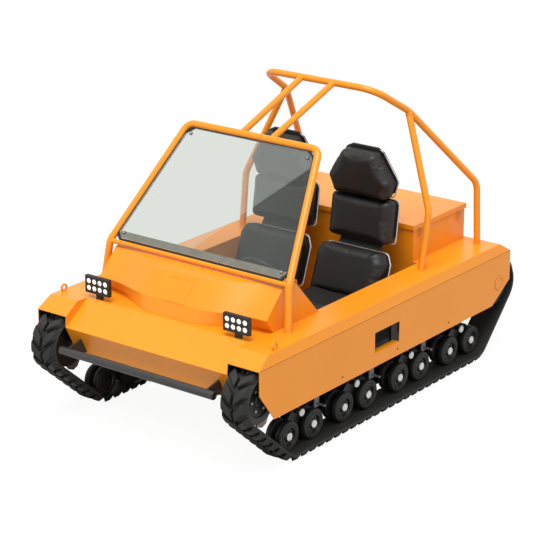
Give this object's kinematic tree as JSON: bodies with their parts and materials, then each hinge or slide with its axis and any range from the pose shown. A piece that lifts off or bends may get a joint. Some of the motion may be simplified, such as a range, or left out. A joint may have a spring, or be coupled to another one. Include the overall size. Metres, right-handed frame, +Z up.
{
  "type": "tracked all-terrain vehicle",
  "caption": "Open tracked all-terrain vehicle with two seats, a raked windscreen, a tube roll cage, chevron rubber tracks and a lidded engine box.",
  "frame": {"origin": "centre of the ground contact rectangle under the whole vehicle, on the floor", "axes": "+X forward, +Y to the vehicle's left, +Z up"},
  "size_m": [2.7501, 1.606, 1.8131],
  "materials": {
    "orange_paint": "gloss orange powder coat on steel sheet and tube",
    "black_steel": "satin black paint on steel",
    "steering_grip": "soft black grip",
    "track_rubber": "moulded matt black rubber",
    "wheel_rubber": "solid black rubber tyre on a black rim",
    "seal_rubber": "black extruded seal",
    "glass": "clear laminated glass",
    "lamp_plastic": "black lamp housing with white lenses",
    "seat_leather": "grained black leather",
    "seat_shell": "dark moulded shell with a pale edge",
    "engine_iron": "dull cast"
  },
  "bodies": {
    "hull": {"axle_carriers": "black_steel", "bogie_arms": "black_steel", "bonnet": "orange_paint", "box_latches": "black_steel", "bumper_brackets": "black_steel", "bumper_tube": "black_steel", "cage_braces": "orange_paint", "cage_posts": "orange_paint", "cheeks": "orange_paint", "dash": "orange_paint", "engine_block": "engine_iron", "engine_box": "orange_paint", "fenders": "orange_paint", "floor_pan": "orange_paint", "headrest_left": "seat_leather", "headrest_right": "seat_leather", "idlers": "black_steel", "inner_walls": "orange_paint", "lifting_eyes": "orange_paint", "light_bars": "lamp_plastic", "lower_pad_left": "seat_leather", "lower_pad_right": "seat_leather", "mid_pad_left": "seat_leather", "mid_pad_right": "seat_leather", "nose_panel": "orange_paint", "rails": "black_steel", "rear_panel": "orange_paint", "road_wheels_left": "wheel_rubber", "road_wheels_right": "wheel_rubber", "roof_hoop": "orange_paint", "seat_cushion_left": "seat_leather", "seat_cushion_right": "seat_leather", "seat_shell_left": "seat_shell", "seat_shell_right": "seat_shell", "side_panel_left": "orange_paint", "side_panel_right": "orange_paint", "sprockets": "black_steel", "steering_column": "black_steel", "struts": "black_steel", "suspension_pivots": "black_steel", "tensioners": "black_steel", "track_left": "track_rubber", "track_right": "track_rubber", "windshield_frame": "orange_paint", "windshield_glass": "glass", "windshield_seal": "seal_rubber"},
    "steering": {"steering_wheel": "steering_grip"},
    "lid": {"box_lid": "orange_paint"}
  },
  "joints": [
    {"name": "lid_hinge", "type": "hinge", "parent": "hull", "child": "lid", "pos_m": [0, -0.564, 0.92], "axis": [1, 0, 0], "range_deg": [0, 75]},
    {"name": "steering_turn", "type": "hinge", "parent": "hull", "child": "steering", "pos_m": [0.575, 0.29, 0.89], "axis": [-0.8192, 0, 0.5736], "range_deg": [-135, 135]}
  ]
}
